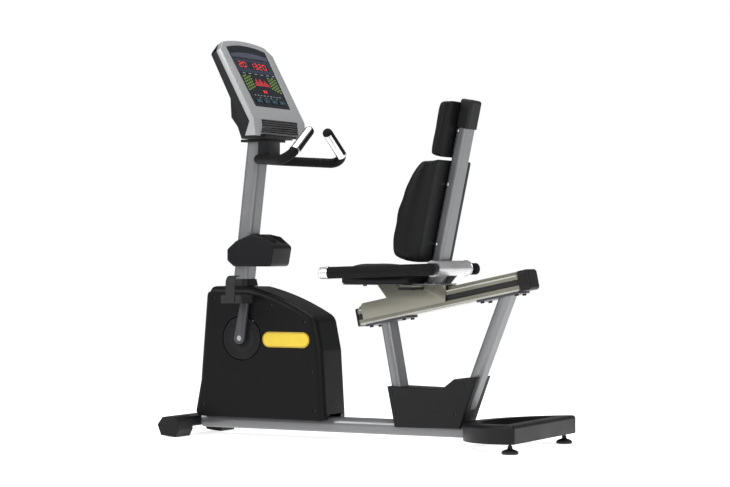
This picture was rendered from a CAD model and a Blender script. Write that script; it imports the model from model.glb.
"""Recumbent exercise bike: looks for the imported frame. Metres, the bike faces -X."""
import math

import bmesh
import bpy
from mathutils import Matrix, Vector


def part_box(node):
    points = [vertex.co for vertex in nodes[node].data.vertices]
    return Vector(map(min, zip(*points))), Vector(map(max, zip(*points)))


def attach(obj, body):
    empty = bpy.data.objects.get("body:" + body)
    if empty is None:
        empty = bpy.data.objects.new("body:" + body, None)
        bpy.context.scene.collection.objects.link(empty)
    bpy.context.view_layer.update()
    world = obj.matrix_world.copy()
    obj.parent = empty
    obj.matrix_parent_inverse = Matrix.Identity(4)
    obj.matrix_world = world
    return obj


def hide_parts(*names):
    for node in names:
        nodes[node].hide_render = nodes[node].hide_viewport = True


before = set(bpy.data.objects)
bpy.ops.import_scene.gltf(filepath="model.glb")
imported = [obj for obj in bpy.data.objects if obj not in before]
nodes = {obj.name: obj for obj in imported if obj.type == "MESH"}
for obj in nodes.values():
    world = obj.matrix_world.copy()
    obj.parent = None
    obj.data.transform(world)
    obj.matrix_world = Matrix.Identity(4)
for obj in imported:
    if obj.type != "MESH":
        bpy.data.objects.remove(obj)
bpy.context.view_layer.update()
scene = bpy.context.scene

# ------------------------------------------------------------------ materials


def grain_bump(tree, bsdf, kind, scale, strength, distance, stretch=(1, 1, 1)):
    """Fine surface relief from noise or cells, in object space."""
    nd, ln = tree.nodes, tree.links
    coords = nd.new("ShaderNodeTexCoord")
    mapping = nd.new("ShaderNodeMapping")
    mapping.inputs["Scale"].default_value = stretch
    ln.new(coords.outputs["Object"], mapping.inputs["Vector"])
    if kind == "cells":
        tex = nd.new("ShaderNodeTexVoronoi")
        tex.feature = "SMOOTH_F1"
        tex.inputs["Scale"].default_value = scale
        out = tex.outputs["Distance"]
    else:
        tex = nd.new("ShaderNodeTexNoise")
        tex.inputs["Scale"].default_value = scale
        tex.inputs["Detail"].default_value = 5
        out = tex.outputs["Fac"]
    ln.new(mapping.outputs["Vector"], tex.inputs["Vector"])
    bump = nd.new("ShaderNodeBump")
    bump.inputs["Strength"].default_value = strength
    bump.inputs["Distance"].default_value = distance
    ln.new(out, bump.inputs["Height"])
    ln.new(bump.outputs["Normal"], bsdf.inputs["Normal"])
    return mapping, bump


def finish_of(name, color, rough, metal=0.0, kind="noise", scale=900, strength=0.15, distance=0.0004,
              stretch=(1, 1, 1), vary=0.12, rough_vary=0.06, coat=0.0, sheen=0.0, specular=0.5, wrinkle=0.0):
    """A moulded, painted, cast or covered surface: relief, slight colour and gloss changes."""
    mat = bpy.data.materials.new(name)
    mat.use_nodes = True
    tree = mat.node_tree
    nd, ln = tree.nodes, tree.links
    bsdf = nd["Principled BSDF"]
    bsdf.inputs["Metallic"].default_value = metal
    bsdf.inputs["Specular IOR Level"].default_value = specular
    bsdf.inputs["Coat Weight"].default_value = coat
    bsdf.inputs["Coat Roughness"].default_value = 0.12
    bsdf.inputs["Sheen Weight"].default_value = sheen
    mapping, bump = grain_bump(tree, bsdf, kind, scale, strength, distance, stretch)
    if wrinkle:
        folds = nd.new("ShaderNodeTexNoise")
        folds.inputs["Scale"].default_value = 26
        folds.inputs["Detail"].default_value = 3
        ln.new(mapping.outputs["Vector"], folds.inputs["Vector"])
        soft = nd.new("ShaderNodeBump")
        soft.inputs["Strength"].default_value = wrinkle
        soft.inputs["Distance"].default_value = 0.004
        ln.new(folds.outputs["Fac"], soft.inputs["Height"])
        ln.new(soft.outputs["Normal"], bump.inputs["Normal"])
    broad = nd.new("ShaderNodeTexNoise")
    broad.inputs["Scale"].default_value = 9
    broad.inputs["Detail"].default_value = 6
    ln.new(mapping.outputs["Vector"], broad.inputs["Vector"])
    tint = nd.new("ShaderNodeMix")
    tint.data_type = "RGBA"
    tint.inputs[6].default_value = (*[c * (1 - vary) for c in color], 1)
    tint.inputs[7].default_value = (*[min(1, c * (1 + vary)) for c in color], 1)
    ln.new(broad.outputs["Fac"], tint.inputs[0])
    ln.new(tint.outputs[2], bsdf.inputs["Base Color"])
    gloss = nd.new("ShaderNodeMapRange")
    gloss.inputs["From Min"].default_value = 0.3
    gloss.inputs["From Max"].default_value = 0.7
    gloss.inputs["To Min"].default_value = max(0.03, rough - rough_vary)
    gloss.inputs["To Max"].default_value = min(1, rough + rough_vary)
    ln.new(broad.outputs["Fac"], gloss.inputs["Value"])
    ln.new(gloss.outputs["Result"], bsdf.inputs["Roughness"])
    return mat


def lit(name, color, strength):
    """A lit display segment."""
    mat = finish_of(name, color, 0.4, scale=600, strength=0.05)
    bsdf = mat.node_tree.nodes["Principled BSDF"]
    bsdf.inputs["Emission Color"].default_value = (*color, 1)
    bsdf.inputs["Emission Strength"].default_value = strength
    return mat


SILVER = finish_of("silver_paint_mat", (0.17, 0.172, 0.177), 0.36, metal=0.45, scale=1400,
                   strength=0.10, coat=0.25)
BASE_SILVER = finish_of("base_paint_mat", (0.17, 0.172, 0.177), 0.34, metal=0.4, scale=1400,
                        strength=0.10, coat=0.2)
CHARCOAL = finish_of("charcoal_paint_mat", (0.005, 0.005, 0.006), 0.38, scale=1100, strength=0.22,
                     specular=0.2)
PLATE = finish_of("plate_steel_mat", (0.05, 0.05, 0.055), 0.4, metal=0.5, scale=1100, strength=0.2)
SHROUD = finish_of("shroud_mat", (0.0035, 0.0035, 0.0037), 0.42, kind="cells", scale=1300, strength=0.14,
                   distance=0.0003, specular=0.13)
COVER = finish_of("cover_mat", (0.012, 0.012, 0.0125), 0.46, kind="cells", scale=1300, strength=0.2,
                  distance=0.0003,
                  specular=0.14)
TRAY = finish_of("tray_mat", (0.005, 0.005, 0.006), 0.42, kind="cells", scale=1100, strength=0.2,
                 distance=0.0003, specular=0.16)
RUBBER = finish_of("rubber_mat", (0.014, 0.014, 0.014), 0.62, scale=700, strength=0.25, specular=0.3)
LEATHER = finish_of("leather_mat", (0.0035, 0.0035, 0.0038), 0.44, kind="cells", scale=520, strength=0.42,
                    distance=0.0006, specular=0.15, wrinkle=0.25)
FOAM = finish_of("foam_mat", (0.0045, 0.0045, 0.0047), 0.66, scale=1500, strength=0.5, distance=0.0006,
                 sheen=0.0,
                 specular=0.12)
CHROME = finish_of("chrome_mat", (0.74, 0.74, 0.76), 0.14, metal=1.0, scale=300, strength=0.03, vary=0.03,
                   rough_vary=0.03)
STEEL = finish_of("steel_mat", (0.42, 0.42, 0.43), 0.34, metal=1.0, scale=500, strength=0.1, vary=0.08)
HAMMERED = finish_of("hammered_silver_mat", (0.62, 0.62, 0.63), 0.3, metal=0.75, kind="cells",
                     scale=420, strength=0.35,
                     distance=0.0005, vary=0.3)
IRON = finish_of("iron_mat", (0.10, 0.10, 0.105), 0.5, metal=0.8, scale=260, strength=0.3)
OLIVE = finish_of("rail_mat", (0.19, 0.185, 0.15), 0.33, metal=0.55, scale=1200, strength=0.12, coat=0.2)
OLIVE_LIGHT = finish_of("rail_light_mat", (0.48, 0.48, 0.45), 0.3, metal=0.6, scale=1200, strength=0.12)
CONSOLE = finish_of("console_silver_mat", (0.33, 0.335, 0.34), 0.36, metal=0.3, scale=1800,
                    strength=0.08, vary=0.04,
                    coat=0.15)
GRILLE_GREY = finish_of("grille_grey_mat", (0.045, 0.045, 0.043), 0.42, scale=1200, strength=0.15,
                        specular=0.3)
DISPLAY = finish_of("display_mat", (0.004, 0.006, 0.011), 0.2, scale=400, strength=0.02, coat=0.1, vary=0.3,
                    specular=0.25)
BAND = finish_of("display_band_mat", (0.045, 0.05, 0.075), 0.3, scale=120, strength=0.05, vary=0.5)
BAND_DARK = finish_of("display_blue_mat", (0.012, 0.02, 0.042), 0.25, scale=120, strength=0.05, vary=0.4)
YELLOW = finish_of("badge_yellow_mat", (0.62, 0.45, 0.02), 0.36, scale=500, strength=0.06, coat=0.4,
                   vary=0.18)
YELLOW_RIM = finish_of("badge_rim_mat", (0.38, 0.27, 0.02), 0.42, scale=500, strength=0.06, vary=0.2)
RED = lit("led_red_mat", (0.55, 0.03, 0.035), 0.55)
GREEN = lit("led_green_mat", (0.12, 0.20, 0.035), 0.25)
TEAL = lit("key_teal_mat", (0.03, 0.19, 0.20), 0.25)
PALE = lit("mark_pale_mat", (0.22, 0.25, 0.27), 0.12)

CAD_LOOK = {
    SILVER: ["mast", "front_post", "rear_post", "back_frame"],
    BASE_SILVER: ["base_tube"],
    CHROME: ["pulse_sensors"],
    CHARCOAL: ["front_crossbar", "rear_stabilizer", "drive_frame", "console_bracket"],
    PLATE: ["rail_plates", "seat_pan", "crank_arm_left", "crank_arm_right"],
    SHROUD: ["shroud_left", "shroud_right"],
    COVER: ["front_covers", "mast_collar", "boot_left", "boot_right", "rail_caps", "headrest_cover",
            "console_back", "seat_release_lever", "carriage_glides", "drive_pulley", "crank_discs"],
    TRAY: ["accessory_tray"],
    RUBBER: ["pedal_left", "pedal_right", "pedal_strap_left", "pedal_strap_right", "drive_belt",
             "transport_wheel_left", "transport_wheel_right", "levelling_foot_left", "levelling_foot_right"],
    STEEL: ["transport_axles", "crank_axle", "pedal_spindles", "crank_bearings", "flywheel_axle"],
    IRON: ["flywheel"],
    OLIVE: ["seat_rail", "seat_carriage"],
    CONSOLE: ["console_front"],
    DISPLAY: ["console_display", "console_key_1", "console_key_2", "console_key_3", "console_key_4"],
    FOAM: ["handlebar", "handle_grip_left", "handle_grip_right", "seat_cushion", "back_pad", "headrest_pad"],
}
SCREW = finish_of("screw_mat", (0.03, 0.03, 0.03), 0.4, metal=0.8, scale=500, strength=0.1)
CAD_LOOK[SCREW] = ["frame_screws"]
CAD_LOOK[HAMMERED] = ["side_handles"]


def dress(obj, mat):
    """Give every face of a piece one material."""
    obj.data.materials.clear()
    obj.data.materials.append(mat)


for mat, names in CAD_LOOK.items():
    for name in names:
        dress(nodes[name], mat)

# ------------------------------------------------------------------ helpers


def link(obj):
    scene.collection.objects.link(obj)
    return obj


def piece(name, bm, mat, body, smooth_angle=35):
    """Finish a bmesh as a named piece that rides on a body."""
    mesh = bpy.data.meshes.new(name)
    bm.normal_update()
    bm.to_mesh(mesh)
    bm.free()
    obj = link(bpy.data.objects.new(name, mesh))
    mesh.materials.append(mat)
    shade(obj, smooth_angle)
    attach(obj, body)
    return obj


def shade(obj, angle):
    """Smooth shading with edges sharper than the angle kept crisp."""
    mesh = obj.data
    bm = bmesh.new()
    bm.from_mesh(mesh)
    limit = math.radians(angle)
    for face in bm.faces:
        face.smooth = True
    for edge in bm.edges:
        edge.smooth = not (len(edge.link_faces) == 2 and edge.calc_face_angle(0) > limit)
    bm.to_mesh(mesh)
    bm.free()


def merged_copy(node, name, flatten=True):
    """A CAD node's mesh with its split corners joined and flat faces made whole."""
    mesh = nodes[node].data.copy()
    mesh.name = name
    bm = bmesh.new()
    bm.from_mesh(mesh)
    bmesh.ops.remove_doubles(bm, verts=bm.verts, dist=1e-5)
    if flatten:
        bmesh.ops.dissolve_limit(bm, angle_limit=math.radians(0.6), verts=bm.verts, edges=bm.edges)
    bm.normal_update()
    bm.to_mesh(mesh)
    bm.free()
    if "custom_normal" in mesh.attributes:
        mesh.attributes.remove(mesh.attributes["custom_normal"])
    return link(bpy.data.objects.new(name, mesh))


def eased(node, name, width, mat, body, limit=28, segments=3):
    """The CAD node again, with moulded, light-catching edges in place of razor ones."""
    obj = merged_copy(node, name)
    dress(obj, mat)
    bevel = obj.modifiers.new("edges", "BEVEL")
    bevel.width = width
    bevel.segments = segments
    bevel.limit_method = "ANGLE"
    bevel.angle_limit = math.radians(limit)
    bevel.use_clamp_overlap = True
    bevel.harden_normals = False
    apply_modifiers(obj)
    shade(obj, 40)
    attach(obj, body)
    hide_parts(node)
    return obj


def apply_modifiers(obj):
    """Bake a piece's modifiers into its mesh."""
    bpy.context.view_layer.update()
    graph = bpy.context.evaluated_depsgraph_get()
    mesh = bpy.data.meshes.new_from_object(obj.evaluated_get(graph))
    obj.modifiers.clear()
    old = obj.data
    obj.data = mesh
    bpy.data.meshes.remove(old)


def ring(bm, centre, radius, tube_radius, axis="Y", major=48, minor=10):
    """Add a torus to a bmesh, round the given axis."""
    turn = {"X": Matrix.Rotation(math.pi / 2, 4, "Y"), "Y": Matrix.Rotation(math.pi / 2, 4, "X"),
            "Z": Matrix.Identity(4)}[axis]
    loops = []
    for i in range(major):
        a = 2 * math.pi * i / major
        loop = []
        for j in range(minor):
            b = 2 * math.pi * j / minor
            r = radius + tube_radius * math.cos(b)
            loop.append(bm.verts.new(Vector(centre) + turn @ Vector((r * math.cos(a), r * math.sin(a),
                                                                     tube_radius * math.sin(b)))))
        loops.append(loop)
    for i in range(major):
        for j in range(minor):
            bm.faces.new((loops[i][j], loops[(i + 1) % major][j], loops[(i + 1) % major][(j + 1) % minor],
                          loops[i][(j + 1) % minor]))
    bmesh.ops.recalc_face_normals(bm, faces=bm.faces)


def lathe(bm, origin, axis, outline, steps=48):
    """Turn an outline of (distance along, radius) round an axis, closed at both ends."""
    axis = Vector(axis).normalized()
    side = axis.orthogonal().normalized()
    up = axis.cross(side)
    loops = []
    for along, radius in outline:
        loop = []
        for i in range(steps):
            a = 2 * math.pi * i / steps
            spoke = side * math.cos(a) + up * math.sin(a)
            loop.append(bm.verts.new(Vector(origin) + axis * along + spoke * radius))
        loops.append(loop)
    for low, high in zip(loops, loops[1:]):
        for i in range(steps):
            bm.faces.new((low[i], low[(i + 1) % steps], high[(i + 1) % steps], high[i]))
    bm.faces.new(loops[0][::-1])
    bm.faces.new(loops[-1])


def slab(bm, origin, ax, ay, an, outline, depth, ease=0.0):
    """Add a plate with a polygon outline given in a local (ax, ay) plane, rising along an."""
    origin, ax, ay, an = Vector(origin), Vector(ax), Vector(ay), Vector(an)
    low = [bm.verts.new(origin + ax * x + ay * y) for x, y in outline]
    cx = sum(p[0] for p in outline) / len(outline)
    cy = sum(p[1] for p in outline) / len(outline)

    def inner(x, y):
        dist = math.hypot(x - cx, y - cy) or 1
        k = max(0.0, 1 - ease / dist)
        return (cx + (x - cx) * k, cy + (y - cy) * k)

    mid = [bm.verts.new(origin + ax * x + ay * y + an * (depth - ease)) for x, y in outline]
    top = [bm.verts.new(origin + ax * inner(x, y)[0] + ay * inner(x, y)[1] + an * depth) for x, y in outline]
    n = len(outline)
    for a, b in ((low, mid), (mid, top)) if ease else ((low, top),):
        for i in range(n):
            bm.faces.new((a[i], a[(i + 1) % n], b[(i + 1) % n], b[i]))
    if not ease:
        for v in mid:
            bm.verts.remove(v)
    bm.faces.new(low[::-1])
    bm.faces.new(top)
    bmesh.ops.recalc_face_normals(bm, faces=bm.faces)


def rounded(width, height, radius, steps=8):
    """Outline points of a rounded rectangle about the origin."""
    points = []
    for cx, cy, start in ((1, 1, 0), (-1, 1, 90), (-1, -1, 180), (1, -1, 270)):
        for i in range(steps + 1):
            a = math.radians(start + 90 * i / steps)
            points.append((cx * (width / 2 - radius) + radius * math.cos(a),
                           cy * (height / 2 - radius) + radius * math.sin(a)))
    return points


# ------------------------------------------------------------------ soft goods


def stuffed(node, name, keep_still, shrink, pressure, cap, frames=20, voxel=0.006, smooth=14):
    """An upholstered pad: the CAD solid remeshed, rounded and blown up as cloth."""
    obj = merged_copy(node, name, flatten=False)
    remesh = obj.modifiers.new("remesh", "REMESH")
    remesh.mode = "VOXEL"
    remesh.voxel_size = voxel
    apply_modifiers(obj)
    mesh = obj.data
    bm = bmesh.new()
    bm.from_mesh(mesh)
    for _ in range(smooth):
        bmesh.ops.smooth_vert(bm, verts=[v for v in bm.verts if not keep_still(v.co)], factor=0.5,
                              use_axis_x=True, use_axis_y=True, use_axis_z=True)
    bm.normal_update()
    for v in bm.verts:
        if not keep_still(v.co):
            v.co -= v.normal * shrink
    bm.to_mesh(mesh)
    bm.free()
    rest = [v.co.copy() for v in mesh.vertices]
    pins = obj.vertex_groups.new(name="pins")
    pins.add([i for i, co in enumerate(rest) if keep_still(co)], 1.0, "REPLACE")
    cloth = obj.modifiers.new("cloth", "CLOTH")
    cloth.settings.quality = 5
    cloth.settings.use_pressure = True
    cloth.settings.uniform_pressure_force = pressure
    cloth.settings.vertex_group_mass = "pins"
    cloth.settings.tension_stiffness = 40
    cloth.settings.compression_stiffness = 40
    cloth.settings.effector_weights.gravity = 0
    cloth.point_cache.frame_start = 1
    cloth.point_cache.frame_end = frames
    for step in range(1, frames + 1):
        scene.frame_set(step)
    apply_modifiers(obj)
    scene.frame_set(1)
    for v, co in zip(obj.data.vertices, rest):
        move = v.co - co
        if move.length > cap:
            v.co = co + move.normalized() * cap
    bm = bmesh.new()
    bm.from_mesh(obj.data)
    for _ in range(20):
        bmesh.ops.smooth_vert(bm, verts=[v for v in bm.verts if not keep_still(v.co)], factor=0.5,
                              use_axis_x=True, use_axis_y=True, use_axis_z=True)
    bm.to_mesh(obj.data)
    bm.free()
    obj.vertex_groups.clear()
    dress(obj, LEATHER)
    return obj


def finish_soft(obj, body, fill, *replaced):
    """One subdivision, smooth shading, and the piece's place in the tables."""
    sub = obj.modifiers.new("smooth", "SUBSURF")
    sub.levels = sub.render_levels = 1
    apply_modifiers(obj)
    dress(obj, LEATHER)
    for poly in obj.data.polygons:
        poly.use_smooth = True
    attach(obj, body)
    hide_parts(*replaced)
    return obj


def groove(obj, distance_to, depth, width):
    """Press a sewn channel into a pad where distance_to(point) is small."""
    mesh = obj.data
    for v in mesh.vertices:
        d = distance_to(v.co)
        if d is not None and abs(d) < width * 3:
            v.co -= v.normal * depth * math.exp(-(d / width) ** 2)
    mesh.update()


BACK_LEAN = math.radians(12.1)
POST_REAR = Vector((0.357, 0, 0.669))  # foot of the post's rear face
POST_DEPTH, SLEEVE_DEPTH = 0.042, 0.046  # post, and post with its sleeve, measured level
HOLD = 0.004  # cloth this near to what backs it stays put


def behind_rear(co, along, gap):
    """True within gap of the plane of the pad's rear, which leans with the post."""
    rear_x = POST_REAR.x + (co.z - POST_REAR.z) * math.tan(BACK_LEAN)
    return rear_x - co.x < along + gap


back = stuffed("back_pad", "back_pad_cover", lambda co: behind_rear(co, POST_DEPTH, HOLD),
               0.003, 2.5, 0.006, smooth=30)
groove(back, lambda co: abs(co.y) - 0.142 if not behind_rear(co, 0.06, 0) else None, 0.004, 0.004)
finish_soft(back, "seat", 0.75, "back_pad")

cushion_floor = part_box("seat_cushion")[0].z
cushion = stuffed("seat_cushion", "seat_cushion_cover", lambda co: co.z < cushion_floor + HOLD,
                  0.003, 2.5, 0.012)
groove(cushion, lambda co: abs(co.y) - 0.128 if co.z > cushion_floor + 0.03 else None, 0.0035, 0.004)
finish_soft(cushion, "seat", 0.7, "seat_cushion")

head = stuffed("headrest_pad", "headrest_cover_pad", lambda co: behind_rear(co, SLEEVE_DEPTH, HOLD),
               0.003, 4.0, 0.016, smooth=9)
groove(head, lambda co: abs(co.y) - 0.104 if not behind_rear(co, 0.07, 0) else None, 0.0025, 0.0035)
finish_soft(head, "seat", 0.8, "headrest_pad")

# ------------------------------------------------------------------ foam grips
ARM_FRONT, ARM_REAR = Vector((-0.0595, 0, 0.6179)), Vector((0.388, 0, 0.6326))
ARM_Y, CROSS_TUBE_X = 0.185, 0.370
ARM_AXIS = (ARM_REAR - ARM_FRONT).normalized()
ARM_LENGTH = (ARM_REAR - ARM_FRONT).length
for side, word in ((-1, "left"), (1, "right")):
    bm = bmesh.new()
    start, end = 0.0365, ARM_LENGTH + 0.0125
    outline = [(start, 0.0146), (start, 0.0192), (start + 0.0008, 0.0207), (start + 0.003, 0.0214)]
    outline += [(start + 0.006 + (end - start - 0.02) * i / 40, 0.0215) for i in range(41)]
    outline += [(end - 0.013 * (1 - math.sin(math.radians(a))), 0.0085 + 0.013 * math.cos(math.radians(a)))
                for a in range(8, 91, 9)]
    outline += [(end, 0.004)]
    lathe(bm, ARM_FRONT + Vector((0, side * ARM_Y, 0)), ARM_AXIS, outline, 56)
    grip = piece(f"foam_sleeve_{word}", bm, FOAM, "seat")
    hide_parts(f"handle_grip_{word}")
    bm = bmesh.new()
    spot = ARM_FRONT + Vector((0, side * ARM_Y, 0)) + ARM_AXIS * 0.0335
    lathe(bm, spot, ARM_AXIS, [(-0.0025, 0.0195), (-0.0022, 0.0225), (-0.0008, 0.0236), (0.0012, 0.0236),
                               (0.0026, 0.0225), (0.003, 0.0195)])
    collar = piece(f"handle_collar_{word}", bm, CHROME, "seat")
    bm = bmesh.new()
    lathe(bm, (CROSS_TUBE_X, side * 0.1338, 0.635), (0, side, 0),
          [(0, 0.0283), (0.0008, 0.0294), (0.0052, 0.0294), (0.0066, 0.0286), (0.0066, 0.022)])
    disc = piece(f"cross_tube_collar_{word}", bm, CHROME, "seat")
    bm = bmesh.new()
    lathe(bm, (CROSS_TUBE_X, side * 0.1405, 0.634), (0, side, 0),
          [(0, 0.0203), (0.0005, 0.0208), (0.021, 0.0208), (0.0232, 0.0196), (0.0234, 0.0125)])
    sleeve = piece(f"cross_tube_boss_{word}", bm, COVER, "seat")

# ------------------------------------------------------------------ eased plastic and metal
eased("console_front", "console_front_shell", 0.0045, CONSOLE, "frame", limit=20)
eased("console_back", "console_back_shell", 0.006, COVER, "frame", limit=14)
eased("accessory_tray", "tray_body", 0.0022, TRAY, "frame", limit=40)
eased("seat_carriage", "carriage_channel", 0.0009, OLIVE, "seat")
eased("rail_plates", "rail_plate_pair", 0.0012, PLATE, "frame")
eased("crank_arm_left", "crank_lever_left", 0.001, PLATE, "crank", limit=45)
eased("crank_arm_right", "crank_lever_right", 0.001, PLATE, "crank", limit=45)
eased("console_bracket", "console_stem", 0.003, CHARCOAL, "frame", limit=40)

# ------------------------------------------------------------------ console display
FACE_FOOT = Vector((-0.338, 0, 1.188))
FACE_UP = (Vector((-0.504, 0, 1.494)) - FACE_FOOT).normalized()
FACE_OUT = Vector((FACE_UP.z, 0, -FACE_UP.x))
ACROSS = Vector((0, 1, 0))
D_LOW, D_HIGH, D_HALF = 0.056, 0.308, 0.134


def on_display(rects, name, mat, lift=0.0, thick=0.0006, ease=0.0002, body="frame"):
    """Thin raised artwork on the display: polygons in (u, v), u across -1..1, v up 0..1."""
    bm = bmesh.new()
    origin = FACE_FOOT + FACE_OUT * (-0.001 + lift)
    for outline in rects:
        points = [(u * D_HALF, D_LOW + v * (D_HIGH - D_LOW)) for u, v in outline]
        slab(bm, origin, ACROSS, FACE_UP, FACE_OUT, points, thick, ease)
    obj = piece(name, bm, mat, body)
    return obj


def box_uv(u0, u1, v0, v1):
    return [(u0, v0), (u1, v0), (u1, v1), (u0, v1)]


SEGMENTS = {"a": (0, 1), "d": (0, 0), "g": (0, 0.5), "f": (-1, 0.75),
            "b": (1, 0.75), "e": (-1, 0.25), "c": (1, 0.25)}
DIGITS = {"0": "abcdef", "1": "bc", "2": "abged", "3": "abgcd", "5": "afgcd", "8": "abcdefg"}


def digit(char, u, v, w, h):
    """Seven-segment digit as (u, v) boxes."""
    boxes = []
    t = h * 0.09
    for seg in DIGITS[char]:
        x, y = SEGMENTS[seg]
        if x == 0:
            boxes.append(box_uv(u - w * 0.36, u + w * 0.36, v + h * y - t, v + h * y + t))
        else:
            boxes.append(box_uv(u + x * w * 0.5 - w * 0.12, u + x * w * 0.5 + w * 0.12, v + h * (y - 0.2),
                                v + h * (y + 0.2)))
    return boxes


arc = []
for i in range(13):
    u = -0.97 + 1.94 * i / 12
    arc.append((u, 0.905 + 0.05 * math.cos(u * 1.45)))
lower = [(u, v - 0.10 + 0.035 * abs(u)) for u, v in reversed(arc)]
on_display([arc + lower], "display_arc_band", BAND)
on_display([box_uv(-0.98, 0.98, 0.60, 0.835)], "display_top_field", BAND_DARK, thick=0.0003)
windows = [box_uv(-0.86, -0.36, 0.675, 0.79), box_uv(-0.28, 0.80, 0.665, 0.79),
           box_uv(-0.44, 0.40, 0.36, 0.54)]
on_display(windows, "display_windows", DISPLAY, thick=0.0007)
reds = []
for i, char in enumerate("20"):
    reds += digit(char, -0.72 + 0.22 * i, 0.69, 0.15, 0.085)
for i, char in enumerate("1320"):
    reds += digit(char, -0.10 + 0.23 * i, 0.68, 0.15, 0.09)
for row in range(7):
    for column in range(17):
        height = (2, 3, 5, 6, 4, 3, 5, 6, 6, 4, 2, 3, 5, 4, 3, 2, 1)[column]
        if row < height:
            u, v = -0.39 + 0.0475 * column, 0.375 + 0.0215 * row
            reds.append(box_uv(u, u + 0.030, v, v + 0.013))
reds += [box_uv(-0.12 + 0.11 * i, -0.05 + 0.11 * i, 0.25, 0.30) for i in range(2)]
on_display(reds, "display_red_digits", RED, lift=0.0007, thick=0.0004, ease=0.0)
greens = []
for side in (-1, 1):
    for column in range(4):
        for row in range(6 - column // 2):
            u = side * (0.90 - 0.12 * column)
            v = 0.28 + 0.045 * row + 0.02 * column
            greens.append(box_uv(min(u, u - side * 0.085), max(u, u - side * 0.085), v, v + 0.022))
on_display(greens, "display_green_bars", GREEN)
pale = [box_uv(-0.72 + 0.17 * i, -0.64 + 0.17 * i, 0.195, 0.207) for i in range(9)]
pale += [box_uv(-0.80 + 0.32 * i, -0.66 + 0.32 * i, 0.575, 0.586) for i in range(6)]
pale += [box_uv(-0.5 + 0.3 * i, -0.42 + 0.3 * i, 0.16, 0.168) for i in range(4)]
on_display(pale, "display_pale_marks", PALE)

KEY_FACE = (0.034, 0.0125, 0.003)  # width, height, corner
KEY_Y = (-0.084, -0.028, 0.028, 0.084)
ART = 0.0003  # thickness of printed marks
for number, y in enumerate(KEY_Y, start=1):
    bm = bmesh.new()
    origin = FACE_FOOT + FACE_OUT * 0.001 + FACE_UP * (D_LOW + 0.026)
    slab(bm, origin, ACROSS, FACE_UP, FACE_OUT, [(y + x, v) for x, v in rounded(*KEY_FACE)], ART)
    cap = piece(f"key_face_{number}", bm, BAND_DARK, f"key_{number}")
    bm = bmesh.new()
    marks = [[(-0.004, -0.003), (0.005, 0), (-0.004, 0.003)],
             [(-0.004, -0.003), (-0.001, -0.003), (-0.001, 0.003), (-0.004, 0.003)],
             [(-0.005, -0.001), (0.005, -0.001), (0.005, 0.001), (-0.005, 0.001)],
             [(-0.003, -0.003), (0.003, -0.003), (0.003, 0.003), (-0.003, 0.003)]][number - 1]
    slab(bm, origin + FACE_OUT * ART, ACROSS, FACE_UP, FACE_OUT, [(y + x, v) for x, v in marks], ART)
    ring_points = rounded(*KEY_FACE)
    for i in range(len(ring_points)):
        a, b = ring_points[i], ring_points[(i + 1) % len(ring_points)]
        if math.dist(a, b) > 1e-5:
            corners = [a, b, (b[0] * 0.965, b[1] * 0.90), (a[0] * 0.965, a[1] * 0.90)]
            slab(bm, origin + FACE_OUT * ART, ACROSS, FACE_UP, FACE_OUT, [(y + x, v) for x, v in corners], ART)
    mark = piece(f"key_mark_{number}", bm, TEAL, f"key_{number}")

# ------------------------------------------------------------------ rail stripes, grille backing, studs
STUD_HEIGHTS = (0.048, 0.267, 0.464)  # up the post
STUD_FORWARD = 0.033
RAIL_TILT = math.radians(11.7)
RAIL_FOOT = Vector((0.026, 0, 0.424))
RAIL_ALONG = Vector((math.cos(RAIL_TILT), 0, math.sin(RAIL_TILT)))
RAIL_UP = Vector((-math.sin(RAIL_TILT), 0, math.cos(RAIL_TILT)))
for side, word in ((-1, "left"), (1, "right")):
    bm = bmesh.new()
    for low, high in ((0.0535, 0.0585), (0.001, 0.0075)):
        stripe = [(0.006, low), (0.648, low), (0.648, high), (0.006, high)]
        slab(bm, RAIL_FOOT + Vector((0, side * 0.0398, 0)), RAIL_ALONG, RAIL_UP, Vector((0, side, 0)), stripe,
             0.0007, 0.0003)
    stripes = piece(f"rail_stripes_{word}", bm, OLIVE_LIGHT, "frame")
    bm = bmesh.new()
    groove_floor = [(0.004, 0.0215), (0.650, 0.0215), (0.650, 0.042), (0.004, 0.042)]
    slab(bm, RAIL_FOOT + Vector((0, side * 0.0328, 0)), RAIL_ALONG, RAIL_UP, Vector((0, side, 0)),
         groove_floor, 0.0007, 0.0003)
    strip = piece(f"rail_groove_strip_{word}", bm, RUBBER, "frame")

bm = bmesh.new()
slab(bm, (-0.3455, 0, 1.161), ACROSS, Vector((0, 0, 1)), Vector((1, 0, 0)),
     rounded(0.270, 0.056, 0.003), 0.001)
GRILLE_LEAN = Vector((-0.007, 0, 0.063)).normalized()
GRILLE_OUT = Vector((0.063, 0, 0.007)).normalized()
grille_back = piece("grille_backing", bm, DISPLAY, "frame")
bm = bmesh.new()
for row in range(7):
    mid = 1.1357 + row * 0.00833 - (0.0006 if row == 0 else 0)
    spot = (-0.338 + (1.188 - mid) / 9, 0, mid)
    slab(bm, spot, ACROSS, GRILLE_LEAN, GRILLE_OUT, rounded(0.266, 0.0033, 0.001, 3), 0.0007, 0.0003)
ribs = piece("grille_ribs", bm, GRILLE_GREY, "frame")

for side, word in ((-1, "left"), (1, "right")):
    bm = bmesh.new()
    for up in STUD_HEIGHTS:
        spot = Vector((POST_REAR.x + up * math.sin(BACK_LEAN) - STUD_FORWARD * math.cos(BACK_LEAN),
                       side * 0.0399,
                       POST_REAR.z + up * math.cos(BACK_LEAN) + STUD_FORWARD * math.sin(BACK_LEAN)))
        lathe(bm, spot, (0, side, 0), [(0, 0.0055), (0.0012, 0.0055), (0.0024, 0.0044), (0.0028, 0.002)], 24)
    studs = piece(f"post_studs_{word}", bm, CHROME, "seat")

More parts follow.
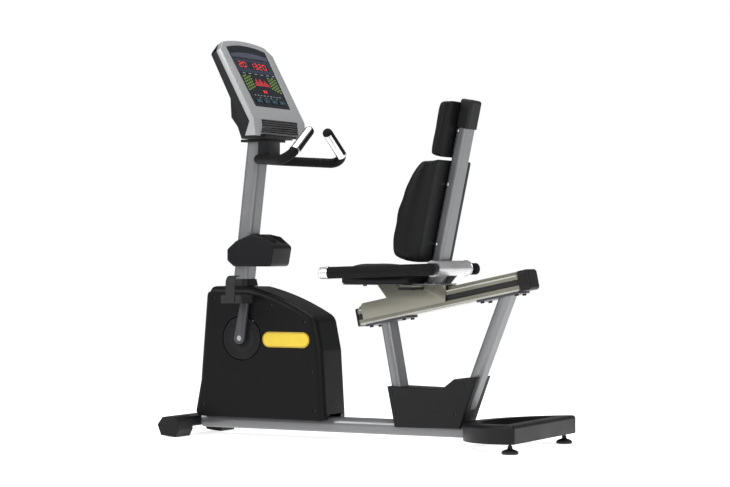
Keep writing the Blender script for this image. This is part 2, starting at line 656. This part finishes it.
for side, word in ((-1, "left"), (1, "right")):
    disc_low, disc_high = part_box("crank_discs")
    face_y = disc_low.y if side < 0 else disc_high.y
    bm = bmesh.new()
    for radius, thick in ((0.072, 0.0013), (0.058, 0.0010), (0.030, 0.0014)):
        ring(bm, (-0.450, face_y - side * 0.0006, 0.372), radius, thick, axis="Y")
    rings = piece(f"crank_disc_rings_{word}", bm, COVER, "crank")

# ------------------------------------------------------------------ shroud badges
ALONG, UPRIGHT = Vector((1, 0, 0)), Vector((0, 0, 1))
BADGE_RIM, BADGE_FACE = 0.0022, 0.0012  # how far each layer stands out
for side, word in ((-1, "left"), (1, "right")):
    bm = bmesh.new()
    origin = Vector((-0.259, side * 0.0899, 0.369))
    out = Vector((0, side, 0))
    slab(bm, origin, ALONG, UPRIGHT, out, rounded(0.200, 0.058, 0.028, 10), BADGE_RIM, 0.0008)
    rim = piece(f"badge_rim_{word}", bm, YELLOW_RIM, "frame")
    bm = bmesh.new()
    slab(bm, origin + out * BADGE_RIM, ALONG, UPRIGHT, out, rounded(0.190, 0.048, 0.0235, 10),
         BADGE_FACE, 0.0006)
    slab(bm, origin + out * (BADGE_RIM + BADGE_FACE), ALONG, UPRIGHT, out, rounded(0.126, 0.036, 0.006, 4),
         0.0008, 0.0004)
    badge = piece(f"badge_plain_{word}", bm, YELLOW, "frame")

# ------------------------------------------------------------------ stage, light, camera
bpy.ops.mesh.primitive_plane_add(size=60, location=(0, 0, -0.0005))
floor = bpy.context.object
floor.name = "floor"
floor_mat = bpy.data.materials.new("floor_mat")
floor_mat.use_nodes = True
floor_surface = floor_mat.node_tree.nodes["Principled BSDF"].inputs
floor_surface["Base Color"].default_value = (0.93, 0.93, 0.93, 1)
floor_surface["Roughness"].default_value = 0.9
floor_surface["Emission Color"].default_value = (1, 1, 1, 1)
floor_surface["Emission Strength"].default_value = 0.75
floor.data.materials.append(floor_mat)

world = bpy.data.worlds.new("studio")
scene.world = world
world.use_nodes = True
backdrop = world.node_tree.nodes["Background"]
backdrop.inputs["Color"].default_value = (1, 1, 1, 1)
backdrop.inputs["Strength"].default_value = 1.0
dimmer = world.node_tree.nodes.new("ShaderNodeBackground")
dimmer.inputs["Color"].default_value = (1, 1, 1, 1)
dimmer.inputs["Strength"].default_value = 0.28
path = world.node_tree.nodes.new("ShaderNodeLightPath")
blend = world.node_tree.nodes.new("ShaderNodeMixShader")
world_links = world.node_tree.links
world_links.new(path.outputs["Is Camera Ray"], blend.inputs["Fac"])
world_links.new(dimmer.outputs["Background"], blend.inputs[1])
world_links.new(backdrop.outputs["Background"], blend.inputs[2])
world_links.new(blend.outputs["Shader"], world.node_tree.nodes["World Output"].inputs["Surface"])


def area(name, location, target, size, power):
    """A soft square light aimed at a point."""
    data = bpy.data.lights.new(name, "AREA")
    data.shape = "RECTANGLE"
    data.size, data.size_y = size
    data.energy = power
    lamp = link(bpy.data.objects.new(name, data))
    lamp.location = location
    lamp.rotation_euler = (Vector(target) - Vector(location)).to_track_quat("-Z", "Y").to_euler()


area("key_light", (-2.6, -3.4, 3.4), (0, 0, 0.7), (2.4, 2.4), 130)
area("fill_light", (3.6, -2.6, 2.6), (0, 0, 0.7), (2.6, 2.6), 110)
area("top_light", (0, 0.4, 4.2), (0, 0, 0.6), (3.0, 2.0), 90)

camera = link(bpy.data.objects.new("camera", bpy.data.cameras.new("camera")))
azimuth, pitch = math.radians(27.98), math.radians(0.222)
camera.location = (3.7415, -6.995, 0.695)
aim = Vector((-math.sin(azimuth) * math.cos(pitch), math.cos(azimuth) * math.cos(pitch), math.sin(pitch)))
camera.rotation_mode = "QUATERNION"
camera.rotation_quaternion = aim.to_track_quat("-Z", "Y")
camera.data.lens = 106.1
camera.data.sensor_width = 36
camera.data.clip_end = 100
scene.camera = camera
scene.view_settings.view_transform = "Standard"
